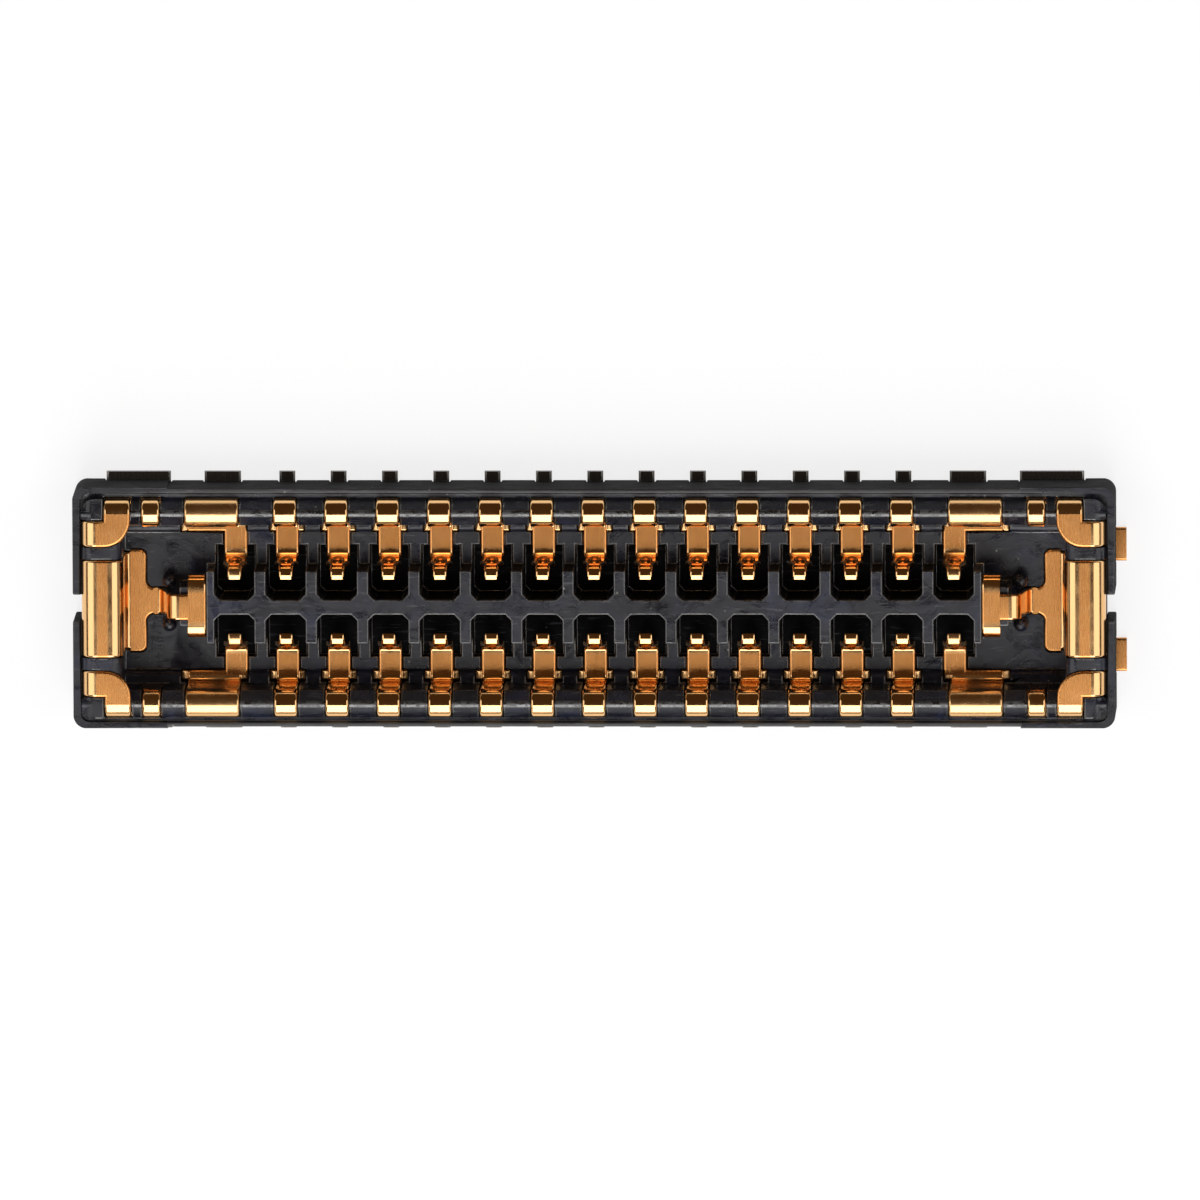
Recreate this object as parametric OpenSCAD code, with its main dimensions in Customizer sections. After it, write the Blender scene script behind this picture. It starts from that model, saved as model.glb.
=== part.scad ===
// Fine-pitch receptacle that joins a flexible printed circuit to a board.
// Sizes in millimetres. The board lies at z = 0, the mating side faces +Z,
// and the contact rows run along X. Row a lies on the +Y side, row b on -Y.

/* [Contact rows] */
// Distance between neighbouring contacts of a row
pitch = 0.35; // [0.32:0.01:0.5]
// Signal contacts in each row
signal_count = 13; // [5:1:25]
// Clear width between the inner legs of the two rows
cavity_w = 1.11; // [1.08:0.01:1.4]

/* [Contact strip] */
// Sheet thickness of the contacts and hold-downs
strip_t = 0.05; // [0.04:0.005:0.055]
// Width of a signal contact, and of a power contact's spring arm
strip_w = 0.16; // [0.12:0.01:0.18]
// Width over the barbs beside a contact's leg
barb_w = 0.25; // [0.22:0.01:0.28]
// Length of a barb along the leg
barb_len = 0.072; // [0.05:0.002:0.08]
// Gap between a barb and the inner leg's face
barb_gap = 0.008; // [0.002:0.002:0.02]
// Inner radius of the bend that leads from the tail up into the wall
foot_r = 0.03; // [0.02:0.005:0.05]
// Height of the crests above the board
crest_top = 0.55; // [0.5:0.01:0.65]
// Inner radius of the crest that wraps the ridge
crest_r = 0.05; // [0.04:0.005:0.06]
// Inner radius of the bend from the inner leg to the floor
floor_r = 0.045; // [0.03:0.005:0.08]
// Inner radius of the bend where the spring arm leaves the floor
arm_r = 0.04; // [0.03:0.005:0.05]
// Slope of the spring arm
arm_angle = 85; // [70:1:88]
// Height of the spring tips above the board
tip_top = 0.41; // [0.36:0.01:0.44]
// Inner radius of the curl at the spring tip
tip_r = 0.02; // [0.015:0.005:0.04]
// How far the curl turns down past level
tip_curl = 35; // [20:1:45]
// Width of the spring tip
tip_w = 0.1; // [0.06:0.01:0.12]
// Length of the tapered shoulders below the tip
shoulder_len = 0.09; // [0.04:0.01:0.1]
// Radius of the rounded bead that touches the plug
bead_r = 0.06; // [0.05:0.005:0.08]
// Height of the bead above the spring arm
bead_h = 0.022; // [0.01:0.002:0.03]
// Straight length of the bead along the arm
bead_len = 0.07; // [0.04:0.01:0.1]
// Width of a signal contact's solder tail
tail_w = 0.11; // [0.08:0.01:0.16]
// Reach of the solder tails past the side walls
tail_reach = 0.066; // [0.04:0.002:0.15]

/* [Power contacts] */
// Width of a power contact's crest
power_w = 0.37; // [0.3:0.01:0.42]
// Distance from the spring arm's centre to the near edge of the crest
power_inset = 0.035; // [0:0.005:0.06]
// Width of a power contact's solder tail
power_tail_w = 0.25; // [0.15:0.01:0.3]

/* [Hold-downs] */
// Distance from a power contact's arm to the narrow side hook
hook_dist = 0.565; // [0.55:0.005:0.7]
// Width of the narrow side hook
hook_w = 0.125; // [0.1:0.005:0.14]
// Height of the narrow hook's free end
hook_end_z = 0.25; // [0.2:0.01:0.3]
// Distance from the narrow hook to the wide corner hook
corner_dist = 0.228; // [0.215:0.001:0.26]
// Width of the corner hook and of the arm over the end wall
corner_w = 0.18; // [0.15:0.005:0.2]
// Distance from the corner hook to the outside of the end roll
end_dist = 0.245; // [0.24:0.005:0.3]
// Length of the end roll across the end wall
roll_len = 0.67; // [0.5:0.01:0.72]
// Width of the end roll from its outside to the cavity
roll_w = 0.287; // [0.27:0.001:0.3]
// Bevel along the rounded inner edge of a corner plate
corner_bevel = 0.02; // [0.01:0.005:0.03]
// Length of the plate on the floor, along the end wall
plate_len = 0.71; // [0.6:0.01:0.8]
// Width of the floor plate, from the end roll into the cavity
plate_w = 0.142; // [0.12:0.002:0.15]
// Rounding of the floor plate's free corners
plate_r = 0.05; // [0.02:0.01:0.08]
// Inner radius of the fold between the end roll and the floor plate
plate_fold_r = 0.03; // [0.02:0.005:0.05]
// Width of the neck between the floor plate and the tongue
neck_w = 0.18; // [0.14:0.01:0.2]
// Rounding between the neck and the floor plate
neck_r = 0.05; // [0.03:0.01:0.07]
// Length from the end roll to the neck's upward bend
neck_len = 0.22; // [0.21:0.01:0.24]
// Slope of the neck up to the tongue
neck_angle = 80; // [70:1:85]
// Inner radius of the two bends of the neck
neck_bend_r = 0.03; // [0.02:0.005:0.04]
// Height of the tongue above the board
tongue_top = 0.45; // [0.43:0.01:0.48]
// Length of the tongue along the island
tongue_len = 0.19; // [0.17:0.01:0.22]
// Width of the flat of the tongue's head
head_w = 0.27; // [0.24:0.01:0.3]
// Length of the tongue's head
head_len = 0.125; // [0.1:0.005:0.14]
// Inner radius of the folds of the head's wings
wing_r = 0.03; // [0.02:0.005:0.04]
// Straight length of a folded wing
wing_run = 0.09; // [0.05:0.01:0.12]
// Width of the solder tail on each side
hold_tail_w = 0.44; // [0.3:0.01:0.46]
// Width of the solder tabs on the right end
tab_w = 0.23; // [0.15:0.01:0.25]
// Distance between the centres of the two end tabs
tab_spacing = 0.76; // [0.6:0.01:0.8]
// Reach of the end tabs past the end wall
tab_reach = 0.07; // [0.04:0.01:0.15]

/* [Housing] */
// Height of the cavity floor
floor_z = 0.1; // [0.09:0.005:0.11]
// Height of the seat under the contact legs
seat_z = 0.07; // [0.05:0.005:0.08]
// Top of the rounded ridges
ridge_top = 0.53; // [0.51:0.005:0.54]
// Radius along the peak of the side ridges, whose sides slope at 45 degrees
peak_r = 0.035; // [0.02:0.005:0.045]
// Radius along the edges of the end ridges
ridge_r = 0.075; // [0.04:0.005:0.09]
// Width of the groove between ridge and outer skin
groove_w = 0.03; // [0.02:0.005:0.05]
// Width of the groove at the end walls
end_groove_w = 0.01; // [0.005:0.001:0.02]
// Height of the groove's floor
groove_z = 0.44; // [0.42:0.005:0.45]
// Thickness of the outer skin
skin_t = 0.031; // [0.025:0.001:0.05]
// Top of the outer skin
skin_top = 0.47; // [0.43:0.005:0.5]
// Rounding of the housing's upright corners
corner_r = 0.09; // [0.06:0.005:0.1]
// Step by which the end blocks stand proud of the side walls
block_step = 0.012; // [0.005:0.001:0.02]
// Distance from the narrow hook to the near face of the end block
block_lead = 0.11; // [0.1:0.005:0.12]
// Width of the rounded ledge at the foot of each side wall
ledge_w = 0.08; // [0.07:0.005:0.09]
// Top of the ledge
ledge_top = 0.16; // [0.15:0.005:0.18]
// Top of the centre island
island_top = 0.445; // [0.43:0.005:0.46]
// Width of the centre island
island_w = 0.5; // [0.46:0.01:0.52]
// Width of the spine along the island
spine_w = 0.104; // [0.08:0.002:0.12]
// Width of the pocket around each spring arm
pocket_w = 0.27; // [0.24:0.01:0.28]
// Height of the pocket's floor
pocket_z = 0.03; // [0.02:0.005:0.04]
// Chamfer of the pocket's corners at the spine
pocket_chamfer = 0.04; // [0.02:0.005:0.06]
// Room in front of a spring tip, up to the spine
tip_room = 0.126; // [0.1:0.002:0.15]
// Radius of the posts beside the tongue
post_r = 0.05; // [0.03:0.005:0.055]
// Height at which a post's dome starts
post_z = 0.2; // [0.15:0.01:0.25]
// Width of the notch in each end wall
notch_w = 0.18; // [0.1:0.01:0.25]
// Gap around the strips where the moulding clears them
seat_gap = 0.005; // [0.002:0.001:0.008]

/* [Hidden] */
// Round shapes keep their true curves
$fn = 48;
// How far a cut runs past the face it opens
cut = 0.1;
gold = [0.86, 0.64, 0.3];
black = [0.09, 0.09, 0.1];

crest_R = crest_r + strip_t;
crest_z = crest_top - crest_R;
row_y = cavity_w / 2 + crest_R;
row_out = row_y + crest_R;
peak_run = peak_r * sin(45);
leg_top = seat_z + strip_t;
half_w = row_out + groove_w + skin_t;

tip_y = spine_w / 2 + tip_room;
arm_rise = tip_top - strip_t - seat_z;
arm_turn_R = arm_r + strip_t + tip_r;
arm_run = (arm_rise - arm_turn_R * (1 - cos(arm_angle))) / sin(arm_angle);
curl_reach = (tip_r + strip_t) * sin(tip_curl);
arm_reach = arm_turn_R * sin(arm_angle) + arm_run * cos(arm_angle) + curl_reach;
leg_end = tip_y + arm_reach;
leg_run = cavity_w / 2 - floor_r - leg_end;
bead_back = arm_run / 2 - shoulder_len;

power_x = (signal_count + 1) / 2 * pitch;
power_off = power_w / 2 - power_inset;
power_barb_w = power_w + barb_w - strip_w;
power_tail_off = power_off - (power_w - power_tail_w) / 2;

hook_x = power_x + hook_dist;
corner_x = hook_x + corner_dist;
end_x = corner_x + end_dist;
roll_in = end_x - roll_w;
roll_flat = roll_w - 2 * crest_R;
half_len = end_x + groove_w + skin_t;
block_x = hook_x - block_lead;
corner_far = corner_x + corner_w / 2;
corner_near_y = row_y - crest_r;
arm_y = corner_near_y - corner_w / 2;
hold_tail_x = corner_far - hold_tail_w / 2;
root_top = groove_z - groove_w;

rise_z = tongue_top - strip_t - seat_z;
rise_R = 2 * neck_bend_r + strip_t;
rise_run = (rise_z - rise_R * (1 - cos(neck_angle))) / sin(neck_angle);
rise_reach = rise_R * sin(neck_angle) + rise_run * cos(neck_angle);
neck_end = roll_in - neck_len;
tongue_start = neck_end - rise_reach;
tongue_end = tongue_start - tongue_len;
island_half = tongue_end;
island_tip = tongue_start - seat_gap;
post_x = neck_end - neck_bend_r - strip_t;

function signal_x(i) = (i - (signal_count + 1) / 2) * pitch;

// Steps of a bent strip, from its outer end inwards. Each step is a straight
// run, the angle of the bend after it (positive bends up or to the left),
// that bend's inner radius, the width, and the middle of that width.
function wrap_steps(tail, tail_off, width, off) = [
    [tail_reach + groove_w + skin_t - foot_r, 90, foot_r, tail, tail_off],
    [crest_z - strip_t - foot_r, -180, crest_r, width, off],
    [crest_z - leg_top - floor_r, 90, floor_r, width, off]
];
arm_steps = [
    [leg_run, arm_angle, arm_r, strip_w, 0],
    [arm_run - shoulder_len, 0, 0, strip_w, 0]
];
tip_steps = [
    [0, -arm_angle - tip_curl, tip_r, tip_w, 0]
];

// A strip of sheet that follows its steps. It starts along +X, its thickness
// lies on +Y, and its width runs along Z. Children go on from its last step.
module bent_strip(steps, i = 0) {
    run = steps[i][0];
    turn = steps[i][1];
    r = steps[i][2];
    width = steps[i][3];
    low = steps[i][4] - width / 2;
    centre_y = turn > 0 ? strip_t + r : -r;
    if (run > 0)
        translate([0, 0, low])
            cube([run, strip_t, width]);
    translate([run, centre_y, 0]) {
        if (turn != 0)
            rotate(turn > 0 ? -90 : 90 + turn)
                rotate_extrude(angle = abs(turn))
                    translate([r, low])
                        square([strip_t, width]);
        rotate(turn)
            translate([0, -centre_y, 0])
                if (i + 1 < len(steps))
                    bent_strip(steps, i + 1)
                        children();
                else
                    children();
    }
}

// Places a strip that starts at a distance from the middle and heads inwards.
// Angle 0 is the +X end, 90 the +Y side and -90 the -Y side.
module inwards(distance, angle) {
    rotate(angle)
        translate([distance, 0, 0])
            rotate([90, 0, 180])
                children();
}

// Extrudes a profile whose X is the distance from the middle and Y the height.
module along_wall(angle, length) {
    rotate(angle)
        rotate([90, 0, 0])
            linear_extrude(length, center = true)
                children();
}

module both_sides() {
    for (side = [0, 1])
        mirror([0, side, 0])
            children();
}

module both_ends() {
    for (end = [0, 1])
        mirror([end, 0, 0])
            children();
}

// Upright face between two distances, from one height to another
module upright(near, far, low, high) {
    translate([near, low])
        square([far - near, high - low]);
}

// Profile of the room for a strip that wraps a ridge: riser, crest and inner leg
module wrap_room(out, flat, low) {
    core_out = out - strip_t - seat_gap;
    core_in = out - crest_R - flat - crest_r + seat_gap;
    leg_in = core_in - strip_t - 2 * seat_gap;
    over = crest_top + cut;
    upright(core_out, out, -cut, over);
    upright(leg_in, core_in, low, over);
    difference() {
        upright(core_in, core_out, crest_z, over);
        for (bend = [out - crest_R, out - crest_R - flat])
            translate([bend, crest_z])
                circle(r = crest_r - seat_gap);
        if (flat > 0)
            upright(out - crest_R - flat, out - crest_R, crest_z, crest_z + crest_r - seat_gap);
    }
}

// The same for a strip that only turns over the ridge and ends in a plate there
module turn_room(out) {
    intersection() {
        wrap_room(out, 0, crest_z);
        upright(out - crest_R, out + cut, -cut, crest_top + 2 * cut);
    }
}

// Profile of the channel through which a tail leaves the wall
module tail_room(out) {
    upright(out - strip_t - seat_gap, out + groove_w + skin_t + block_step + cut, -cut,
        strip_t + foot_r + seat_gap);
}

// Rectangle with round corners, given by half its sides
module plan(half_x, half_y, r) {
    square([2 * half_x, 2 * (half_y - r)], center = true);
    square([2 * (half_x - r), 2 * half_y], center = true);
    for (x = [-1, 1], y = [-1, 1])
        translate([x * (half_x - r), y * (half_y - r)])
            circle(r = r);
}

// Outside of the walls, with the end blocks a step wider
module outer_plan() {
    plan(half_len, half_w, corner_r);
    both_ends()
        intersection() {
            plan(half_len, half_w + block_step, corner_r);
            translate([block_x, -half_w - cut])
                square([half_len, 2 * (half_w + cut)]);
        }
}

// Ridge of an end wall, flat on top between two round edges
module end_ridge() {
    near = roll_in + 2 * seat_gap;
    upright(near, end_x, 0, ridge_top - ridge_r);
    upright(near + ridge_r, end_x - ridge_r, 0, ridge_top);
    for (d = [near + ridge_r, end_x - ridge_r])
        translate([d, ridge_top - ridge_r])
            circle(r = ridge_r);
}

// Ridge of a side wall, a round peak between two slopes
module side_ridge() {
    near = cavity_w / 2 + 2 * seat_gap;
    slope_top = ridge_top - peak_r + peak_run;
    translate([row_y, ridge_top - peak_r])
        circle(r = peak_r);
    polygon([
        [near, 0],
        [row_out, 0],
        [row_out, slope_top + peak_run - (row_out - row_y)],
        [row_y + peak_run, slope_top],
        [row_y - peak_run, slope_top],
        [near, slope_top + peak_run - (row_y - near)]
    ]);
}

module ridges() {
    intersection() {
        union() {
            for (angle = [-90, 90])
                along_wall(angle, 2 * end_x)
                    side_ridge();
            for (angle = [0, 180])
                along_wall(angle, 2 * row_out)
                    end_ridge();
        }
        linear_extrude(crest_top)
            plan(end_x, row_out, corner_r);
    }
}

module ledges() {
    r = ledge_w / 2;
    for (angle = [-90, 90])
        along_wall(angle, 2 * end_x) {
            upright(cavity_w / 2 - ledge_w, cavity_w / 2 + crest_r, 0, ledge_top - r);
            translate([cavity_w / 2 - r, ledge_top - r])
                circle(r = r);
            upright(cavity_w / 2 - r, cavity_w / 2 + crest_r, 0, ledge_top);
        }
}

module island() {
    linear_extrude(island_top)
        square([2 * island_half, island_w], center = true);
    linear_extrude(tongue_top - strip_t)
        square([2 * island_tip, head_w], center = true);
}

module posts() {
    both_ends()
        both_sides()
            translate([post_x, neck_w / 2 + 2 * seat_gap + post_r, 0]) {
                cylinder(r = post_r, h = post_z);
                translate([0, 0, post_z])
                    sphere(r = post_r);
            }
}

module housing_body() {
    linear_extrude(floor_z)
        outer_plan();
    linear_extrude(groove_z)
        difference() {
            outer_plan();
            square([2 * (roll_in + 2 * seat_gap), cavity_w + 4 * seat_gap], center = true);
        }
    linear_extrude(skin_top)
        difference() {
            outer_plan();
            plan(end_x + end_groove_w, row_out + groove_w, corner_r - skin_t);
        }
    ridges();
    ledges();
    island();
    posts();
}

module pocket() {
    far = leg_end + arm_r;
    near = spine_w / 2;
    half = pocket_w / 2;
    polygon([
        [-half, far],
        [-half, near + pocket_chamfer],
        [-half + pocket_chamfer, near],
        [half - pocket_chamfer, near],
        [half, near + pocket_chamfer],
        [half, far]
    ]);
}

// Room for one contact of row a: crest, tail, barbs, leg and spring arm
module contact_room(width, off, tail, tail_off, barb) {
    translate([off, 0, 0]) {
        along_wall(90, width + 2 * seat_gap)
            wrap_room(row_out, 0, seat_z);
        along_wall(90, barb)
            upright(cavity_w / 2 - ledge_w - seat_gap, cavity_w / 2, seat_z, ledge_top + cut);
    }
    translate([tail_off, 0, 0])
        along_wall(90, tail + 2 * seat_gap)
            tail_room(row_out);
    along_wall(90, strip_w + 2 * seat_gap)
        upright(leg_end, cavity_w / 2, seat_z, crest_top);
    translate([0, 0, pocket_z])
        linear_extrude(crest_top)
            pocket();
}

module contact_rooms() {
    both_sides() {
        for (i = [1 : signal_count])
            translate([signal_x(i), 0, 0])
                contact_room(strip_w, 0, tail_w, 0, barb_w);
        both_ends()
            translate([power_x, 0, 0])
                contact_room(power_w, power_off, power_tail_w, power_tail_off, power_barb_w);
    }
}

// Room for the hold-down at the +X end
module hold_down_room() {
    along_wall(0, roll_len + 2 * seat_gap)
        wrap_room(end_x, roll_flat, seat_z);
    along_wall(0, 2 * corner_near_y)
        upright(end_x - strip_t, end_x, strip_t + foot_r, root_top);
    along_wall(0, roll_len + 2 * seat_gap)
        upright(roll_in - plate_fold_r, roll_in, seat_z, crest_top);
    along_wall(0, neck_w + 2 * seat_gap)
        upright(neck_end - neck_bend_r - strip_t, neck_end, seat_z, crest_top);
    translate([0, 0, seat_z])
        linear_extrude(crest_top)
            floor_plate(seat_gap);
    both_sides() {
        translate([0, arm_y, 0])
            along_wall(0, corner_w + 2 * seat_gap)
                turn_room(end_x);
        translate([corner_x, 0, 0])
            along_wall(90, corner_w + 2 * seat_gap)
                turn_room(row_out);
        translate([hook_x, 0, 0])
            along_wall(90, hook_w + 2 * seat_gap)
                wrap_room(row_out, 0, hook_end_z - seat_gap);
        translate([hold_tail_x, 0, 0]) {
            along_wall(90, hold_tail_w)
                upright(row_out - strip_t, row_out, 0, root_top);
            along_wall(90, hold_tail_w + 2 * seat_gap)
                tail_room(row_out);
        }
        translate([0, 0, crest_top - strip_t])
            linear_extrude(strip_t + cut)
                corner_outline(seat_gap);
    }
}

module tab_rooms() {
    both_sides()
        translate([0, tab_spacing / 2, 0])
            along_wall(0, tab_w + 2 * seat_gap)
                tail_room(end_x);
}

module end_notch() {
    translate([end_x, -notch_w / 2, -cut])
        cube([groove_w + skin_t + cut, notch_w, crest_top + 2 * cut]);
}

module housing() {
    color(black)
        difference() {
            housing_body();
            contact_rooms();
            both_ends() {
                hold_down_room();
                end_notch();
            }
            tab_rooms();
        }
}

// Flat barbs at the foot of the inner leg, which bite into the ledge
module barbs(width, off) {
    translate([barb_gap - floor_r, 0, off - width / 2])
        cube([barb_len, strip_t, width]);
}

// Shoulders that narrow a spring arm to its tip
module shoulders() {
    rotate([90, 0, 0])
        translate([0, 0, -strip_t])
            linear_extrude(strip_t)
                polygon([
                    [0, -strip_w / 2],
                    [shoulder_len, -tip_w / 2],
                    [shoulder_len, tip_w / 2],
                    [0, strip_w / 2]
                ]);
}

// Rounded bead coined into the spring arm on the side of the plug
module bead() {
    intersection() {
        translate([-bead_len / 2, strip_t + bead_h - bead_r, 0]) {
            rotate([0, 90, 0])
                cylinder(r = bead_r, h = bead_len);
            sphere(r = bead_r);
            translate([bead_len, 0, 0])
                sphere(r = bead_r);
        }
        translate([-bead_len / 2 - bead_r, strip_t / 2, -bead_r])
            cube([bead_len + 2 * bead_r, bead_r + bead_h, 2 * bead_r]);
    }
}

// Wrapped strip with its barbs and one spring arm, from its tail inwards
module contact(tail, tail_off, width, off, barb) {
    bent_strip(wrap_steps(tail, tail_off, width, off)) {
        barbs(barb, off);
        bent_strip(arm_steps) {
            translate([-bead_back, 0, 0])
                bead();
            shoulders();
            translate([shoulder_len, 0, 0])
                bent_strip(tip_steps);
        }
    }
}

// One contact of row a (angle 90) or row b (angle -90)
module signal_contact(i, angle) {
    color(gold)
        translate([signal_x(i), 0, 0])
            inwards(half_w + tail_reach, angle)
                contact(tail_w, 0, strip_w, 0, barb_w);
}

// Power contact of row b at the +X end
module power_contact() {
    color(gold)
        translate([power_x, 0, 0])
            inwards(half_w + tail_reach, -90)
                contact(power_tail_w, power_tail_off, power_w, power_off, power_barb_w);
}

// Plan of the plate on the floor with its neck, grown by a gap
module floor_plate(grow = 0) {
    far = roll_in - plate_fold_r + grow;
    near = roll_in - plate_w - grow;
    half = plate_len / 2 + grow;
    neck = neck_w / 2 + grow;
    fillet = neck_r - grow;
    translate([near + plate_r, -half])
        square([far - near - plate_r, 2 * half]);
    translate([near, -half + plate_r])
        square([plate_r, 2 * (half - plate_r)]);
    for (y = [-1, 1])
        translate([near + plate_r, y * (half - plate_r)])
            circle(r = plate_r);
    difference() {
        translate([near - fillet, -neck - fillet])
            square([fillet, 2 * (neck + fillet)]);
        for (y = [-1, 1])
            translate([near - fillet, y * (neck + fillet)])
                circle(r = fillet);
    }
    translate([neck_end - grow, -neck])
        square([near - neck_end + grow, 2 * neck]);
}

// Plan of a corner plate on the +Y side, grown by a gap
module corner_outline(grow = 0) {
    translate([corner_far - corner_w - grow, corner_near_y])
        square([corner_w + 2 * grow, row_y - corner_near_y]);
    intersection() {
        translate([corner_far, corner_near_y])
            circle(r = corner_w + grow);
        translate([corner_far - corner_w - grow, corner_near_y - corner_w - grow])
            square(corner_w + grow);
    }
    translate([corner_far, corner_near_y - corner_w - grow])
        square([end_x - crest_R - corner_far, corner_w + 2 * grow]);
}

// Corner plate with a bevelled round inner edge, and its turns into both walls
module corner_plate() {
    translate([0, 0, crest_top - strip_t])
        linear_extrude(strip_t - corner_bevel)
            corner_outline();
    translate([0, 0, crest_top - corner_bevel])
        linear_extrude(corner_bevel)
            difference() {
                corner_outline();
                translate([corner_far - corner_w, corner_near_y - corner_w])
                    square(corner_w);
            }
    translate([corner_far, corner_near_y, crest_top - corner_bevel])
        rotate(180)
            rotate_extrude(angle = 90)
                polygon([
                    [0, 0],
                    [corner_w, 0],
                    [corner_w - corner_bevel, corner_bevel],
                    [0, corner_bevel]
                ]);
}

// Solder tail on the +Y side with the two hooks that rise from it
module side_hooks() {
    translate([hold_tail_x, 0, 0])
        inwards(half_w + tail_reach, 90)
            bent_strip([
                [tail_reach + groove_w + skin_t - foot_r, 90, foot_r, hold_tail_w, 0],
                [root_top - strip_t - foot_r, 0, 0, hold_tail_w, 0]
            ]);
    translate([hook_x, 0, 0])
        inwards(row_out, 90)
            hook_strip(hook_w, -180, crest_z - hook_end_z);
    translate([corner_x, 0, 0])
        inwards(row_out, 90)
            hook_strip(corner_w, -90, 0);
}

// Upper part of a hook: up from its root plate in the wall and over the ridge
module hook_strip(width, turn, end_run) {
    translate([0, root_top, 0])
        rotate(90)
            translate([0, -strip_t, 0])
                bent_strip([[crest_z - root_top, turn, crest_r, width, 0], [end_run, 0, 0, width, 0]]);
}

module end_roll() {
    inwards(end_x, 0)
        rotate(90)
            translate([strip_t + foot_r, -strip_t, 0])
                bent_strip([
                    [crest_z - strip_t - foot_r, -90, crest_r, roll_len, 0],
                    [roll_flat, -90, crest_r, roll_len, 0],
                    [crest_z - leg_top - plate_fold_r, 90, plate_fold_r, roll_len, 0]
                ]);
}

module tongue() {
    inwards(neck_end, 0)
        translate([0, seat_z, 0])
            bent_strip([
                [0, neck_angle, neck_bend_r, neck_w, 0],
                [rise_run, -neck_angle, neck_bend_r, neck_w, 0],
                [tongue_len - head_len, 0, 0, neck_w, 0]
            ])
                tongue_head();
}

// Head of the tongue with a wing folded down on each side, in the strip's own frame
module tongue_head() {
    translate([0, 0, -head_w / 2])
        cube([head_len, strip_t, head_w]);
    for (side = [0, 1])
        mirror([0, 0, side])
            translate([head_len / 2, 0, head_w / 2])
                rotate([0, -90, 0])
                    bent_strip([[0, -90, wing_r, head_len, 0], [wing_run, 0, 0, head_len, 0]]);
}

module end_arms() {
    translate([end_x - strip_t, -corner_near_y, strip_t + foot_r])
        cube([strip_t, 2 * corner_near_y, root_top - strip_t - foot_r]);
    both_sides()
        translate([0, arm_y, 0])
            inwards(end_x, 0)
                hook_strip(corner_w, -90, 0);
}

module end_tabs() {
    both_sides()
        translate([0, tab_spacing / 2, 0])
            inwards(half_len + tab_reach, 0)
                bent_strip([[tab_reach + groove_w + skin_t - foot_r, 90, foot_r, tab_w, 0]]);
}

// Hold-down at the +X end, without the end tabs
module hold_down() {
    end_roll();
    end_arms();
    translate([0, 0, seat_z])
        linear_extrude(strip_t)
            floor_plate();
    tongue();
    both_sides() {
        corner_plate();
        side_hooks();
    }
}

module hold_down_right() {
    color(gold) {
        hold_down();
        end_tabs();
    }
}

module hold_down_left() {
    color(gold)
        mirror([1, 0, 0])
            hold_down();
}

housing();
for (i = [1 : signal_count]) {
    signal_contact(i, 90);
    signal_contact(i, -90);
}
power_contact();  // power_contact_b_right
mirror([1, 0, 0]) power_contact();  // power_contact_b_left
rotate(180) power_contact();  // power_contact_a_left
mirror([0, 1, 0]) power_contact();  // power_contact_a_right
hold_down_left();
hold_down_right();
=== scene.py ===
"""Looks of a fine-pitch receptacle that joins a flexible printed circuit to a board."""

import math

import bmesh
import bpy
from mathutils import Matrix, Vector


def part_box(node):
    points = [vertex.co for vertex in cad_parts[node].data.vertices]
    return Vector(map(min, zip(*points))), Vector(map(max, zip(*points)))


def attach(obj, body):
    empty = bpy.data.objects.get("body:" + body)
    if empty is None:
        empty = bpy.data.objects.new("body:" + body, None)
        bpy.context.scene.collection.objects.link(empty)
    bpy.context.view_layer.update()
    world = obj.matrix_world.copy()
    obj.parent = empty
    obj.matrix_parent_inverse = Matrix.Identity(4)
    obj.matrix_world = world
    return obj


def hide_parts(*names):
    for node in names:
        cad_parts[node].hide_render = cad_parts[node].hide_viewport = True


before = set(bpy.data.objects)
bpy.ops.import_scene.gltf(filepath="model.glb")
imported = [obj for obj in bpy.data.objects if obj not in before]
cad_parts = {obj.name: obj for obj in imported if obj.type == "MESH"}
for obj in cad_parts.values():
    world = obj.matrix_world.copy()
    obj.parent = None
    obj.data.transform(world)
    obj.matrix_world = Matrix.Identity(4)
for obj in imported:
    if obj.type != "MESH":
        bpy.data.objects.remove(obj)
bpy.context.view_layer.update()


# Housing: one moulding with its floor, centre island, walls and end blocks.
# Glass-filled liquid-crystal polymer, black, injection moulded in one shot.
# It holds every strip by a press fit and sits flat on the board.
MM = 0.001


def linear(hex_colour):
    """An sRGB hex colour as linear red, green, blue and alpha."""
    channels = [int(hex_colour[i:i + 2], 16) / 255 for i in (1, 3, 5)]
    return [c / 12.92 if c <= 0.04045 else ((c + 0.055) / 1.055) ** 2.4 for c in channels] + [1]


def grey(level):
    """A linear grey, for masks and plain light."""
    return (level, level, level, 1)


def add_node(tree, kind, inputs, stops=None, **settings):
    """Adds a node with its settings. An input is a value, or the output it is linked to."""
    node = tree.nodes.new(kind)
    for name, value in settings.items():
        setattr(node, name, value)
    for socket, value in inputs.items():
        if isinstance(value, bpy.types.NodeSocket):
            tree.links.new(value, node.inputs[socket])
        else:
            node.inputs[socket].default_value = value
    if stops:
        ramp = node.color_ramp
        while len(ramp.elements) < len(stops):
            ramp.elements.new(1)
        for element, (place, colour) in zip(ramp.elements, stops):
            element.position = place
            element.color = colour
    return node


def new_material(name):
    """A material with an empty node tree."""
    material = bpy.data.materials.new(name)
    material.use_nodes = True
    material.node_tree.nodes.clear()
    return material, material.node_tree


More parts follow.
